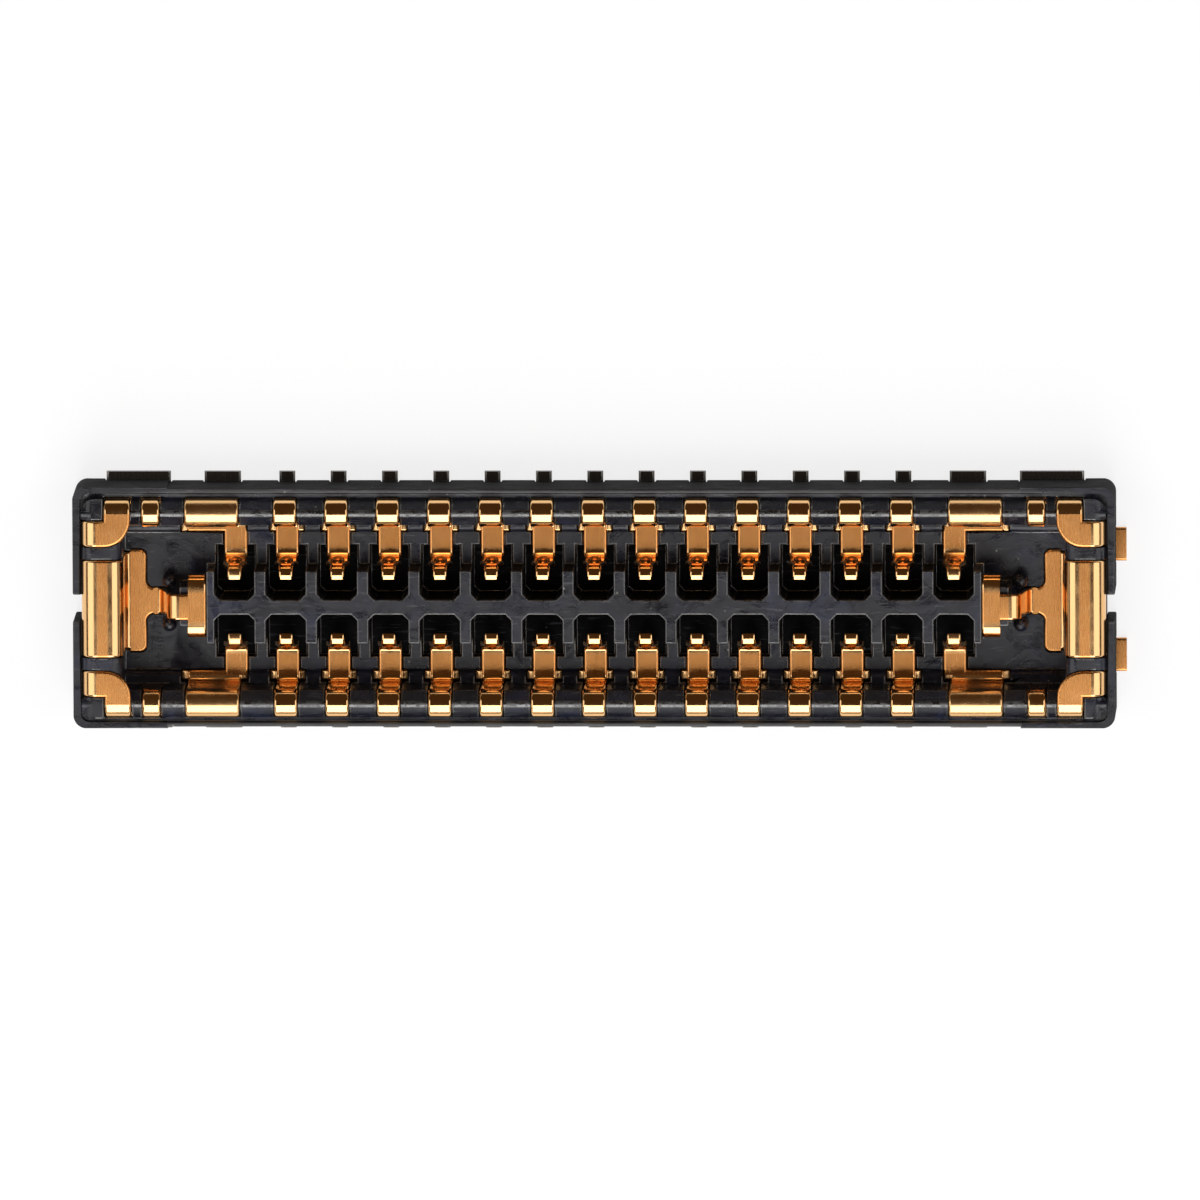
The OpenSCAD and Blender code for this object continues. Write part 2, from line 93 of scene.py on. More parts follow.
# Moulded glass-filled polymer: near black, semi-gloss where the mould is polished,
# matt on the outer skin, and dull, darker and almost without reflection where the mould
# was spark-eroded, which also paints shade on the outer walls and in the island's pockets.
# Edges and ridges are rubbed, with a stronger shine that paints brighter highlights there.
# Cloudy flow marks, fine pits from the glass, scuffs along X
# and a few pale specks. The pits are drawn coarser than real ones, so that they show.
POLYMER_IOR = 1.65
FLOW_SIZE = 0.35 * MM
FIBRE_SIZE = 0.012 * MM
SCUFF_SIZE = 0.02 * MM
SCUFF_SQUEEZE = 0.12
SPECK_SPACING = 0.16 * MM
PIT_DEPTH = 0.0006 * MM
WAVE_DEPTH = 0.004 * MM
NOISE_LOW = 0.3
NOISE_HIGH = 0.7
TONE_PLACES = (0.3, 0.55, 0.75)


def moulded_polymer(name, patch, roughness, shine, tones):
    """The polymer in one finish of the mould.

    Patch is the size of its patches of gloss, which lie between two roughness values.
    Shine is its specular level, and its tones run from dark to pale.
    """
    material, tree = new_material(name)
    place = add_node(tree, "ShaderNodeTexCoord", {}).outputs["Object"]
    flow = add_node(tree, "ShaderNodeTexNoise", {
        "Vector": place, "Scale": 1 / FLOW_SIZE, "Detail": 4, "Roughness": 0.6, "Distortion": 1.2})
    patches = add_node(tree, "ShaderNodeTexNoise", {
        "Vector": place, "Scale": 1 / patch, "Detail": 4, "Roughness": 0.6, "Distortion": 1.2})
    fibres = add_node(tree, "ShaderNodeTexNoise", {
        "Vector": place, "Scale": 1 / FIBRE_SIZE, "Detail": 2, "Roughness": 0.5})
    drawn = add_node(tree, "ShaderNodeMapping", {"Vector": place, "Scale": (SCUFF_SQUEEZE, 1, 1)})
    scuffs = add_node(tree, "ShaderNodeTexNoise", {
        "Vector": drawn.outputs["Vector"], "Scale": 1 / SCUFF_SIZE, "Detail": 3, "Roughness": 0.6})
    specks = add_node(tree, "ShaderNodeTexVoronoi", {
        "Vector": place, "Scale": 1 / SPECK_SPACING, "Randomness": 1})
    speck_mask = add_node(tree, "ShaderNodeValToRGB", {"Fac": specks.outputs["Distance"]},
                          stops=[(0.035, grey(1)), (0.06, grey(0))])
    scuff_mask = add_node(tree, "ShaderNodeValToRGB", {"Fac": scuffs.outputs["Fac"]},
                          stops=[(0.6, grey(0)), (0.72, grey(1))])
    body = add_node(tree, "ShaderNodeValToRGB", {"Fac": flow.outputs["Fac"]},
                    stops=[(stop, linear(tone)) for stop, tone in zip(TONE_PLACES, tones)])
    scuffed = add_node(tree, "ShaderNodeMix", {
        "Factor": scuff_mask.outputs["Color"], "A": body.outputs["Color"], "B": linear("#45464c")},
        data_type="RGBA")
    speckled = add_node(tree, "ShaderNodeMix", {
        "Factor": speck_mask.outputs["Color"], "A": scuffed.outputs["Result"], "B": linear("#6e6c69")},
        data_type="RGBA")
    gloss = add_node(tree, "ShaderNodeMapRange", {
        "Value": patches.outputs["Fac"], "From Min": NOISE_LOW, "From Max": NOISE_HIGH,
        "To Min": roughness[0], "To Max": roughness[1]})
    wavy = add_node(tree, "ShaderNodeBump", {"Height": flow.outputs["Fac"], "Distance": WAVE_DEPTH})
    pitted = add_node(tree, "ShaderNodeBump", {
        "Height": fibres.outputs["Fac"], "Distance": PIT_DEPTH, "Normal": wavy.outputs["Normal"]})
    polymer = add_node(tree, "ShaderNodeBsdfPrincipled", {
        "Base Color": speckled.outputs["Result"], "Roughness": gloss.outputs["Result"],
        "Normal": pitted.outputs["Normal"], "IOR": POLYMER_IOR, "Specular IOR Level": shine})
    add_node(tree, "ShaderNodeOutputMaterial", {"Surface": polymer.outputs["BSDF"]})
    return material


HOUSING_FINISHES = [
    moulded_polymer("moulded_polymer_polished", 0.2 * MM, (0.16, 0.5), 0.34,
                    ("#0e0f15", "#161823", "#22263b")),
    moulded_polymer("moulded_polymer_matt", 0.35 * MM, (0.45, 0.6), 0.6,
                    ("#161617", "#1e1e1f", "#29292a")),
    # Eroded: rough, darker than matt and with almost no reflection; partly a dull eroded finish, partly
    # painted shade.
    moulded_polymer("moulded_polymer_eroded_painted_shade", 0.35 * MM, (0.7, 0.85), 0.07,
                    ("#111112", "#171718", "#1f1f20")),
    # Rubbed: patchy gloss with a much stronger shine than the rest of the moulding, which paints brighter
    # highlights.
    moulded_polymer("moulded_polymer_rubbed_painted_highlight", 0.05 * MM, (0.03, 0.75), 1,
                    ("#161617", "#1e1e1f", "#29292a"))]
POLISHED, MATT, ERODED_PAINTED_SHADE, RUBBED_PAINTED_HIGHLIGHT = range(4)

# A mould never fills a sharp corner, so every long edge of the moulding is rounded.
MOULD_RADIUS = 0.01 * MM
MOULD_SEGMENTS = 2
MERGE_DISTANCE = 0.0002 * MM
SHORT_EDGE = 0.03 * MM
NARROW_FACE = 2.5 * MOULD_RADIUS
SHARP_EDGE = math.radians(35)
FLAT_EDGE = math.radians(0.5)
CREASE = math.radians(50)
POST_X = 2.911 * MM
LEVEL_FACE = 0.999

# Where each finish of the mould lies. A face is a wall or an underside by its normal's Z.
SKIN_LAYER = 0.06 * MM
RIDGE_Y = 0.655 * MM
RIDGE_HALF = 0.03 * MM
RIDGE_LOW = 0.5 * MM
RIDGE_END = 3.33 * MM
ISLAND_HALF = Vector((2.6, 0.345, 0.3)) * MM
WALL_FACE = 0.3
UNDER_FACE = -0.5


def whole(face):
    """A face with its edges and corners, as the cutting and extruding operators need it."""
    return [face, *face.edges, *face.verts]


def finish_piece(bm, name, materials, node):
    """Makes the object that stands for a CAD node.

    At each corner the larger faces set the shading normal, so that flats look flat
    right up to their rounded edges.
    """
    bmesh.ops.recalc_face_normals(bm, faces=bm.faces)
    pull = {face: face.normal * face.calc_area() / MM ** 2 for face in bm.faces}
    normals = []
    for face in bm.faces:
        face.smooth = True
        for vert in face.verts:
            near = [pull[f] for f in vert.link_faces if f.normal.dot(face.normal) > math.cos(CREASE)]
            normals.append(sum(near, Vector()).normalized())
    data = bpy.data.meshes.new(name)
    bm.to_mesh(data)
    bm.free()
    data.normals_split_custom_set(normals)
    for material in materials:
        data.materials.append(material)
    piece = bpy.data.objects.new(name, data)
    bpy.context.scene.collection.objects.link(piece)
    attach(piece, "root")
    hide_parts(node)


bm = bmesh.new()
bm.from_mesh(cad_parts["housing"].data)
bmesh.ops.remove_doubles(bm, verts=bm.verts, dist=MERGE_DISTANCE)

# The triangles of each flat are joined to one face before the edges are rounded. Level
# faces are first cut across the posts and the middle, so that none closes round a hole.
for x in (-POST_X, 0, POST_X):
    level = [f for f in bm.faces if abs(f.normal.z) > LEVEL_FACE]
    geometry = {part for f in level for part in whole(f)}
    cut = bmesh.ops.bisect_plane(
        bm, geom=list(geometry), plane_co=(x, 0, 0), plane_no=(1, 0, 0))["geom_cut"]
    for edge in cut:
        if isinstance(edge, bmesh.types.BMEdge):
            edge.seam = True
bmesh.ops.dissolve_limit(
    bm, angle_limit=FLAT_EDGE, verts=bm.verts, edges=bm.edges, delimit={"SEAM"})
long_edges = [
    e for e in bm.edges
    if e.calc_length() > SHORT_EDGE and e.calc_face_angle() > SHARP_EDGE
    and all(f.calc_area() > NARROW_FACE * e.calc_length() for f in e.link_faces)]
rounded = set(bmesh.ops.bevel(
    bm, geom=long_edges, affect="EDGES", offset=MOULD_RADIUS, segments=MOULD_SEGMENTS, profile=0.5,
    material=-1)["faces"])

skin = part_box("housing")[1] - Vector((SKIN_LAYER, SKIN_LAYER, 0))
for face in bm.faces:
    x, y, z = (abs(c) for c in face.calc_center_median())
    if x > skin.x or y > skin.y or face.normal.z < UNDER_FACE:
        # Walls of the outer skin take the eroded finish, darker than the matt tops, which paints shade on
        # them.
        face.material_index = ERODED_PAINTED_SHADE if abs(face.normal.z) < WALL_FACE else MATT
    elif face in rounded or (abs(y - RIDGE_Y) < RIDGE_HALF and x < RIDGE_END and z > RIDGE_LOW):
        # Bevel strips and ridge peaks take the rubbed finish, whose strong shine paints brighter
        # highlights on them.
        face.material_index = RUBBED_PAINTED_HIGHLIGHT
    elif x < ISLAND_HALF.x and y < ISLAND_HALF.y and z < ISLAND_HALF.z:
        # Low faces of the island, in its pockets, take the same darker finish as painted shade in the
        # recesses.
        face.material_index = ERODED_PAINTED_SHADE
    else:
        face.material_index = POLISHED
finish_piece(bm, "moulded_housing", HOUSING_FINISHES, "housing")


# Signal contacts: thirteen in each row, row a on the +Y side and row b on -Y.
# Copper alloy sheet, stamped, bent over the side ridge and gold plated. Barbs with
# coined ends at the foot of the inner leg bite into the ledge of the housing.

# The sizes of all strips are in millimetres, and their bends in degrees.
SIGNAL_COUNT = 13
SHEET = 0.05
EDGE_ROUND = 0.018
EDGE_SEGMENTS = 3
CORNER_SEGMENTS = 9
BEND_STEP = 9
STRIP_WIDTH = 0.16
TAIL_WIDTH = 0.11
TAIL_FLARE = 0.01
BARB_WIDTH = 0.25
BARB_LENGTH = 0.072
BARB_GAP = 0.008
BARB_ROUND = 0.018
BARB_SINK = 0.001
BARB_EDGE = 0.016
BARB_ROOT = 0.01
BARB_SLOPE = math.radians(13)
CREST_RADIUS = 0.05
FOOT_RADIUS = 0.03
FLOOR_RADIUS = 0.045
ARM_RADIUS = 0.04
ARM_SLOPE = 85
TIP_TOP = 0.41
TIP_RADIUS = 0.02
TIP_CURL = 35
TIP_WIDTH = 0.1
TIP_ROUND = 0.01
SHOULDER = 0.09
BEAD_RADIUS = 0.06
BEAD_HEIGHT = 0.022
BEAD_LENGTH = 0.07
BEAD_SIDES = 32
BEAD_RINGS = 17
SEAT = 0.07
CAVITY = 1.11
UP = Vector((0, 0, 1))

CREST_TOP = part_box("signal_contact_a1")[1].z / MM
CREST_Z = CREST_TOP - SHEET - CREST_RADIUS
ROW_OUT = CAVITY / 2 + 2 * (SHEET + CREST_RADIUS)
LEG_TOP = SEAT + SHEET
BARB_REACH = (BARB_WIDTH - STRIP_WIDTH) / 2

# A straight run is drawn in three parts, so that its finish changes only near a bend.
# An upright run is burnished by the forming tool, as the bends are, and is painted the same paler gold as
# a highlight.
RUN_PARTS = (0.15, 0.7, 0.15)
UPRIGHT_RUN = 0.5

# Plated gold over rolled sheet: satin flats with the faint lines of the rolling,
# bends that the forming tool has burnished, so they shine in clear stripes, and
# duller grey nickel on the solder tails. Burnished bends, upright runs and barbs are
# also painted a paler gold than the flats, which is a painted highlight that makes their
# stripes read cream. Real rolling lines are finer than a pixel,
# so they are drawn coarser. They run along Y.
GRAIN_SIZE = 0.007 * MM
GRAIN_SQUEEZE = 0.06
GRAIN_DEPTH = 0.00003 * MM
BLOTCH_SIZE = 0.09 * MM
NICKEL_START = 0.8 * MM
NICKEL_FULL = 0.81 * MM
GOLD_TONES = ("#db9958", "#e4a160", "#edae70")


def gold_plate(name, flats, bends):
    """Plated sheet, with the two limits of the roughness of its flats and of its bends."""
    material, tree = new_material(name)
    place = add_node(tree, "ShaderNodeTexCoord", {}).outputs["Object"]
    rolled = add_node(tree, "ShaderNodeMapping", {"Vector": place, "Scale": (1, GRAIN_SQUEEZE, 1)})
    lines = add_node(tree, "ShaderNodeTexNoise", {
        "Vector": rolled.outputs["Vector"], "Scale": 1 / GRAIN_SIZE, "Detail": 3, "Roughness": 0.65})
    blotches = add_node(tree, "ShaderNodeTexNoise", {
        "Vector": place, "Scale": 1 / BLOTCH_SIZE, "Detail": 3, "Roughness": 0.6})
    burnish_and_painted_highlight = add_node(tree, "ShaderNodeAttribute", {}, attribute_name="burnish_and_painted_highlight")
    axes = add_node(tree, "ShaderNodeSeparateXYZ", {"Vector": place})
    across = add_node(tree, "ShaderNodeMath", {0: axes.outputs["Y"]}, operation="ABSOLUTE")
    tail = add_node(tree, "ShaderNodeMapRange", {
        "Value": across.outputs["Value"], "From Min": NICKEL_START, "From Max": NICKEL_FULL})
    tone = add_node(tree, "ShaderNodeValToRGB", {"Fac": blotches.outputs["Fac"]},
                    stops=[(stop, linear(gold)) for stop, gold in zip(TONE_PLACES, GOLD_TONES)])
    streaked = add_node(tree, "ShaderNodeMix", {
        "Factor": lines.outputs["Fac"], "A": linear("#dc9a59"), "B": tone.outputs["Color"]},
        data_type="RGBA")
    # Burnished corners are painted a paler gold than the flats: a painted highlight that makes their
    # stripes read cream.
    plated_with_painted_highlight = add_node(tree, "ShaderNodeMix", {
        "Factor": burnish_and_painted_highlight.outputs["Fac"], "A": streaked.outputs["Result"], "B": linear("#f0c086")},
        data_type="RGBA")
    colour = add_node(tree, "ShaderNodeMix", {
        "Factor": tail.outputs["Result"], "A": plated_with_painted_highlight.outputs["Result"], "B": linear("#8d8984")},
        data_type="RGBA")
    satin = add_node(tree, "ShaderNodeMapRange", {
        "Value": lines.outputs["Fac"], "From Min": NOISE_LOW, "From Max": NOISE_HIGH,
        "To Min": flats[1], "To Max": flats[0]})
    polish = add_node(tree, "ShaderNodeMapRange", {
        "Value": blotches.outputs["Fac"], "From Min": NOISE_LOW, "From Max": NOISE_HIGH,
        "To Min": bends[0], "To Max": bends[1]})
    finish = add_node(tree, "ShaderNodeMix", {
        "Factor": burnish_and_painted_highlight.outputs["Fac"], "A": satin.outputs["Result"], "B": polish.outputs["Result"]})
    brushed = add_node(tree, "ShaderNodeBump", {"Height": lines.outputs["Fac"], "Distance": GRAIN_DEPTH})
    gold = add_node(tree, "ShaderNodeBsdfPrincipled", {
        "Base Color": colour.outputs["Result"], "Metallic": 1, "Roughness": finish.outputs["Result"],
        "Normal": brushed.outputs["Normal"]})
    add_node(tree, "ShaderNodeOutputMaterial", {"Surface": gold.outputs["BSDF"]})
    return material


signal_gold = gold_plate("gold_plated_signal_sheet", flats=(0.21, 0.26), bends=(0.08, 0.15))


def new_sheet_metal():
    """An empty mesh whose corners say how far the forming tool has burnished them, and so how much paler
    gold they get as a painted highlight.
    """
    bm = bmesh.new()
    bm.verts.layers.float.new("burnish_and_painted_highlight")
    return bm


def one_face(geometry):
    """The face among the elements that an operator gives back."""
    return next(g for g in geometry if isinstance(g, bmesh.types.BMFace))


def both(width):
    """The two sides of a strip that is centred on its path."""
    return (-width / 2, width / 2)


def press_strip(bm, at, heading, up, sides, steps, soft=(True, True)):
    """Draws a strip of sheet, and returns its last face with the path's place and axes there.

    The strip lies on the up side of its path, between two sides measured along
    heading x up. Soft says which of those sides have rounded edges. A step is a
    straight run, the bend after it in degrees (positive towards up), that bend's
    inner radius, and new sides at the end of the run.
    """
    burnish_and_painted_highlight = bm.verts.layers.float["burnish_and_painted_highlight"]
    at, heading, up = Vector(at), Vector(heading), Vector(up)
    across = heading.cross(up)
    low, high = sides
    corners = [bm.verts.new(at + across * s + up * h)
               for s, h in ((low, 0), (low, SHEET), (high, SHEET), (high, 0))]
    bm.faces.new(corners)
    soft_corners = (corners[:2] if soft[0] else []) + (corners[2:] if soft[1] else [])
    face = one_face(bmesh.ops.bevel(
        bm, geom=soft_corners, affect="VERTICES", offset=EDGE_ROUND, segments=EDGE_SEGMENTS, profile=0.5,
        material=-1)["verts"][0].link_faces)
    for run, turn, radius, *new_sides in steps:
        new_low, new_high = new_sides[0] if new_sides else (low, high)
        for part in RUN_PARTS if run else ():
            face = one_face(bmesh.ops.extrude_face_region(bm, geom=whole(face))["geom"])
            for vert in face.verts:
                outer = (vert.co - at).dot(across) > (low + high) / 2
                spread = new_high - high if outer else new_low - low
                vert.co += (heading * run + across * spread) * part
                # Upright runs get the burnish finish and its paler gold, which is a painted highlight.
                vert[burnish_and_painted_highlight] = abs(heading.z) > UPRIGHT_RUN
        low, high = new_low, new_high
        at = at + heading * run
        if turn:
            # Bends get the burnish finish and its paler gold, which is a painted highlight.
            for vert in face.verts:
                vert[burnish_and_painted_highlight] = 1
            centre = at + up * (SHEET + radius) if turn > 0 else at - up * radius
            face = one_face(bmesh.ops.spin(
                bm, geom=whole(face), cent=centre, axis=across, angle=math.radians(turn),
                steps=math.ceil(abs(turn) / BEND_STEP), use_duplicate=False)["geom_last"])
            rotation = Matrix.Rotation(math.radians(turn), 3, across)
            at = centre + rotation @ (at - centre)
            heading, up = rotation @ heading, rotation @ up
    return face, at, heading, up


def press_plate(bm, outline, low, thickness, rounding, joined=()):
    """A flat plate of sheet with rounded edges. A corner of its outline has x, y and a radius.

    The edges between the corners named in joined run on into a strip and stay sharp.
    """
    corners = [bm.verts.new((x, y, low)) for x, y, radius in outline]
    bm.faces.new(corners)
    sharp = [bm.edges.get((corners[a], corners[b])) for a, b in joined]
    seams = [(e.verts[0].co.copy(), e.verts[1].co - e.verts[0].co) for e in sharp]
    for corner, (x, y, radius) in zip(corners, outline):
        if radius:
            bmesh.ops.bevel(bm, geom=[corner], affect="VERTICES", offset=radius,
                            segments=CORNER_SEGMENTS, profile=0.5, material=-1)
    base = next(f for f in bm.faces if not any(len(e.link_faces) > 1 for e in f.edges))
    top = one_face(bmesh.ops.extrude_face_region(bm, geom=whole(base))["geom"])
    bmesh.ops.translate(bm, vec=(0, 0, thickness), verts=top.verts)
    free = []
    for edge in (*base.edges, *top.edges):
        middle = (edge.verts[0].co + edge.verts[1].co) / 2
        middle.z = low
        if all((middle - start).cross(along).length > rounding * along.length for start, along in seams):
            free.append(edge)
    bmesh.ops.bevel(bm, geom=free, affect="EDGES", offset=rounding, segments=EDGE_SEGMENTS, profile=0.5,
                    material=-1)


def press_ledge_plate(bm, ends, far, near):
    """A plate on the seat of the housing's ledge, between two ends along X and two along Y."""
    press_plate(bm, [(x, y, BARB_ROUND) for x, y in (
        (ends[0], far), (ends[0], near), (ends[1], near), (ends[1], far))],
        SEAT + BARB_SINK, SHEET - 2 * BARB_SINK, BARB_EDGE)


def press_barb(bm, root, end, far, near):
    """A barb from its root in the strip to its end, coined down towards that end, in the paler gold of a
    painted highlight.
    """
    burnish_and_painted_highlight = bm.verts.layers.float["burnish_and_painted_highlight"]
    strip = set(bm.verts)
    press_ledge_plate(bm, (root, end), far, near)
    for vert in set(bm.verts) - strip:
        # The whole barb gets the burnish finish and its paler gold, which is a painted highlight.
        vert[burnish_and_painted_highlight] = 1
        if vert.co.z > SEAT + SHEET / 2:
            vert.co.z -= abs(vert.co.x - root) * math.tan(BARB_SLOPE)


def press_bead(bm, at, heading, up):
    """Half-round bead on the up side of a spring arm, centred on its path at a point."""
    axes = Matrix((up.cross(heading), up, heading)).transposed().to_4x4()
    place = Matrix.Translation(at + up * (SHEET + BEAD_HEIGHT - BEAD_RADIUS)) @ axes
    verts = bmesh.ops.create_uvsphere(
        bm, u_segments=BEAD_SIDES, v_segments=BEAD_RINGS, radius=BEAD_RADIUS)["verts"]
    for end in (-1, 1):
        bmesh.ops.translate(
            bm, vec=(0, 0, end * BEAD_LENGTH / 2), verts=[v for v in verts if v.co.z * end > 0])
    bmesh.ops.transform(bm, matrix=place, verts=verts)
    faces = {f for v in verts for f in v.link_faces}
    edges = {e for v in verts for e in v.link_edges}
    cut = bmesh.ops.bisect_plane(
        bm, geom=[*verts, *edges, *faces], plane_co=at + up * SHEET / 2, plane_no=up,
        clear_inner=True)["geom_cut"]
    bmesh.ops.edgeloop_fill(bm, edges=[g for g in cut if isinstance(g, bmesh.types.BMEdge)])


def arm_sizes(tip_y):
    """Straight lengths of the floor leg and of the spring arm that ends at tip_y."""
    slope = math.radians(ARM_SLOPE)
    turns = ARM_RADIUS + SHEET + TIP_RADIUS
    rise = TIP_TOP - SHEET - SEAT
    arm_run = (rise - turns * (1 - math.cos(slope))) / math.sin(slope)
    curl_reach = (TIP_RADIUS + SHEET) * math.sin(math.radians(TIP_CURL))
    leg_end = tip_y + turns * math.sin(slope) + arm_run * math.cos(slope) + curl_reach
    return CAVITY / 2 - FLOOR_RADIUS - leg_end, arm_run


def press_contact(name, node, arm_x, crest, tail, plating):
    """One contact from its tail to its spring tip. Sides are distances from arm_x along X."""
    lo, hi = (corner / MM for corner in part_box(node))
    row = 1 if lo.y > 0 else -1
    outer, tip_y = max(abs(lo.y), abs(hi.y)), min(abs(lo.y), abs(hi.y))
    inward = Vector((0, -row, 0))

    def sides(pair):
        """Distances along X as sides of the strip, which are measured along -X in row a."""
        return sorted(x * -row for x in pair)

    bm = new_sheet_metal()
    rise = CREST_Z - SHEET - FOOT_RADIUS
    _, leg_start, heading, up = press_strip(bm, (arm_x, row * outer, 0), inward, UP, sides(tail), [
        (outer - ROW_OUT - FOOT_RADIUS, 90, FOOT_RADIUS),
        (TAIL_FLARE, 0, 0, sides(crest)),
        (rise - TAIL_FLARE, -180, CREST_RADIUS),
        (CREST_Z - LEG_TOP - FLOOR_RADIUS, 90, FLOOR_RADIUS)])

    far, near = (row * (CAVITY / 2 - BARB_GAP - d) for d in (0, BARB_LENGTH))
    foot_low, foot_high = arm_x + crest[0], arm_x + crest[1]
    if crest[1] - crest[0] > STRIP_WIDTH:
        press_ledge_plate(bm, (foot_low, foot_high), far, near)
    press_barb(bm, foot_low + BARB_ROOT, foot_low - BARB_REACH, far, near)
    press_barb(bm, foot_high - BARB_ROOT, foot_high + BARB_REACH, far, near)

    leg_run, arm_run = arm_sizes(tip_y)
    tip = press_strip(bm, leg_start, heading, up, both(STRIP_WIDTH), [
        (leg_run, ARM_SLOPE, ARM_RADIUS),
        (arm_run - SHOULDER, 0, 0),
        (SHOULDER, -ARM_SLOPE - TIP_CURL, TIP_RADIUS, both(TIP_WIDTH))])[0]
    bmesh.ops.bevel(bm, geom=tip.edges[:], affect="EDGES", offset=TIP_ROUND, segments=EDGE_SEGMENTS,
                    profile=0.5, material=-1)

    slope = math.radians(ARM_SLOPE)
    climb = inward * math.cos(slope) + UP * math.sin(slope)
    face_up = UP * math.cos(slope) - inward * math.sin(slope)
    centre = leg_start + inward * leg_run + UP * (SHEET + ARM_RADIUS)
    arm_start = centre - face_up * (SHEET + ARM_RADIUS)
    press_bead(bm, arm_start + climb * arm_run / 2, climb, face_up)
    bmesh.ops.scale(bm, vec=(MM, MM, MM), verts=bm.verts)
    finish_piece(bm, name, [plating], node)


def middle_x(node):
    """The middle of a node along X, in millimetres."""
    lo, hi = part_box(node)
    return (lo.x + hi.x) / 2 / MM


for row in "ab":
    for i in range(1, SIGNAL_COUNT + 1):
        node = f"signal_contact_{row}{i}"
        press_contact(f"plated_signal_{row}{i}", node, middle_x(node), both(STRIP_WIDTH),
                      both(TAIL_WIDTH), signal_gold)


# Power contacts: a wide strip at each end of each row, with one spring arm near
# its inner edge. The same plated sheet and bends as the signal contacts, pressed
# into the housing in the same way.
POWER_WIDTH = 0.37
POWER_INSET = 0.035
POWER_TAIL = 0.25

power_gold = gold_plate("gold_plated_power_sheet", flats=(0.23, 0.28), bends=(0.21, 0.28))

for row in "ab":
    for end, side in (("left", -1), ("right", 1)):
        node = f"power_contact_{row}_{end}"
        arm_x = middle_x(node) - side * (POWER_WIDTH / 2 - POWER_INSET)
        crest = sorted(side * x for x in (-POWER_INSET, POWER_WIDTH - POWER_INSET))
        tail = sorted(side * x for x in (-POWER_INSET, POWER_TAIL - POWER_INSET))
        press_contact(f"plated_power_{row}_{end}", node, arm_x, crest, tail, power_gold)


# Hold-downs: one at each end, that takes the pull of the plug off the contacts.
# The same sheet, stamped and folded over the end wall and the side ridges,
# gold plated, with a tongue that lies on the end of the island.
ROLL_LENGTH = 0.67
ROLL_WIDTH = 0.287
FOLD_RADIUS = 0.03
PLATE_LENGTH = 0.71
PLATE_WIDTH = 0.142
PLATE_ROUND = 0.05
NECK_WIDTH = 0.18
NECK_ROUND = 0.05
NECK_LENGTH = 0.22
NECK_SLOPE = 80
NECK_RADIUS = 0.03
TONGUE_TOP = 0.45
TONGUE_LENGTH = 0.19
HEAD_WIDTH = 0.27
HEAD_LENGTH = 0.125
WING_RADIUS = 0.03
WING_RUN = 0.09
HOOK_X = 3.015
HOOK_WIDTH = 0.125
HOOK_END = 0.25
CORNER_X = 3.243
CORNER_WIDTH = 0.18
ROOT_TOP = 0.41
HOLD_TAIL = 0.44
TAB_WIDTH = 0.23
TAB_SPACING = 0.76
OUTWARD = Vector((1, 0, 0))

END_X = abs(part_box("hold_down_left")[0].x) / MM
END_JOINT = END_X - CREST_RADIUS - SHEET
ROLL_IN = END_X - ROLL_WIDTH
NECK_END = ROLL_IN - NECK_LENGTH
ROOT_LOW = SHEET + FOOT_RADIUS
ROW_Y = ROW_OUT - CREST_RADIUS - SHEET
CORNER_Y = ROW_Y - CREST_RADIUS
CORNER_IN = CORNER_Y - CORNER_WIDTH
CORNER_FAR = CORNER_X + CORNER_WIDTH / 2
CORNER_NEAR = CORNER_FAR - CORNER_WIDTH

hold_down_gold = gold_plate("gold_plated_hold_down_sheet", flats=(0.25, 0.29), bends=(0.13, 0.2))


def press_roll(bm):
    """The roll over the end wall, with the plate and the neck at its foot on the floor."""
    press_strip(bm, (END_X - SHEET, 0, ROOT_LOW), UP, OUTWARD, both(ROLL_LENGTH), [
        (CREST_Z - ROOT_LOW, -90, CREST_RADIUS),
        (ROLL_WIDTH - 2 * (CREST_RADIUS + SHEET), -90, CREST_RADIUS),
        (CREST_Z - LEG_TOP - FOLD_RADIUS, 90, FOLD_RADIUS)])
    far, near = ROLL_IN - FOLD_RADIUS, ROLL_IN - PLATE_WIDTH
    half, neck = PLATE_LENGTH / 2, NECK_WIDTH / 2
    press_plate(bm, [
        (far, -half, 0), (far, half, 0), (near, half, PLATE_ROUND), (near, neck, NECK_ROUND),
        (NECK_END, neck, 0), (NECK_END, -neck, 0), (near, -neck, NECK_ROUND), (near, -half, PLATE_ROUND)],
        SEAT, SHEET, EDGE_ROUND, joined=((0, 1), (4, 5)))


def press_tongue(bm):
    """The rise from the neck, the tongue, and its head with a wing bent down at each side."""
    slope = math.radians(NECK_SLOPE)
    turns = 2 * NECK_RADIUS + SHEET
    rise_run = (TONGUE_TOP - LEG_TOP - turns * (1 - math.cos(slope))) / math.sin(slope)
    head_at = press_strip(bm, (NECK_END, 0, SEAT), -OUTWARD, UP, both(NECK_WIDTH), [
        (0, NECK_SLOPE, NECK_RADIUS),
        (rise_run, -NECK_SLOPE, NECK_RADIUS),
        (TONGUE_LENGTH - HEAD_LENGTH, 0, 0)])[1]
    wing_y = HEAD_WIDTH / 2 + WING_RADIUS
    wing_z = TONGUE_TOP - SHEET - WING_RADIUS
    press_strip(bm, (head_at.x, -wing_y, wing_z - WING_RUN), UP, (0, -1, 0), (-HEAD_LENGTH, 0), [
        (WING_RUN, -90, WING_RADIUS),
        (HEAD_WIDTH, -90, WING_RADIUS),
        (WING_RUN, 0, 0)], soft=(True, False))


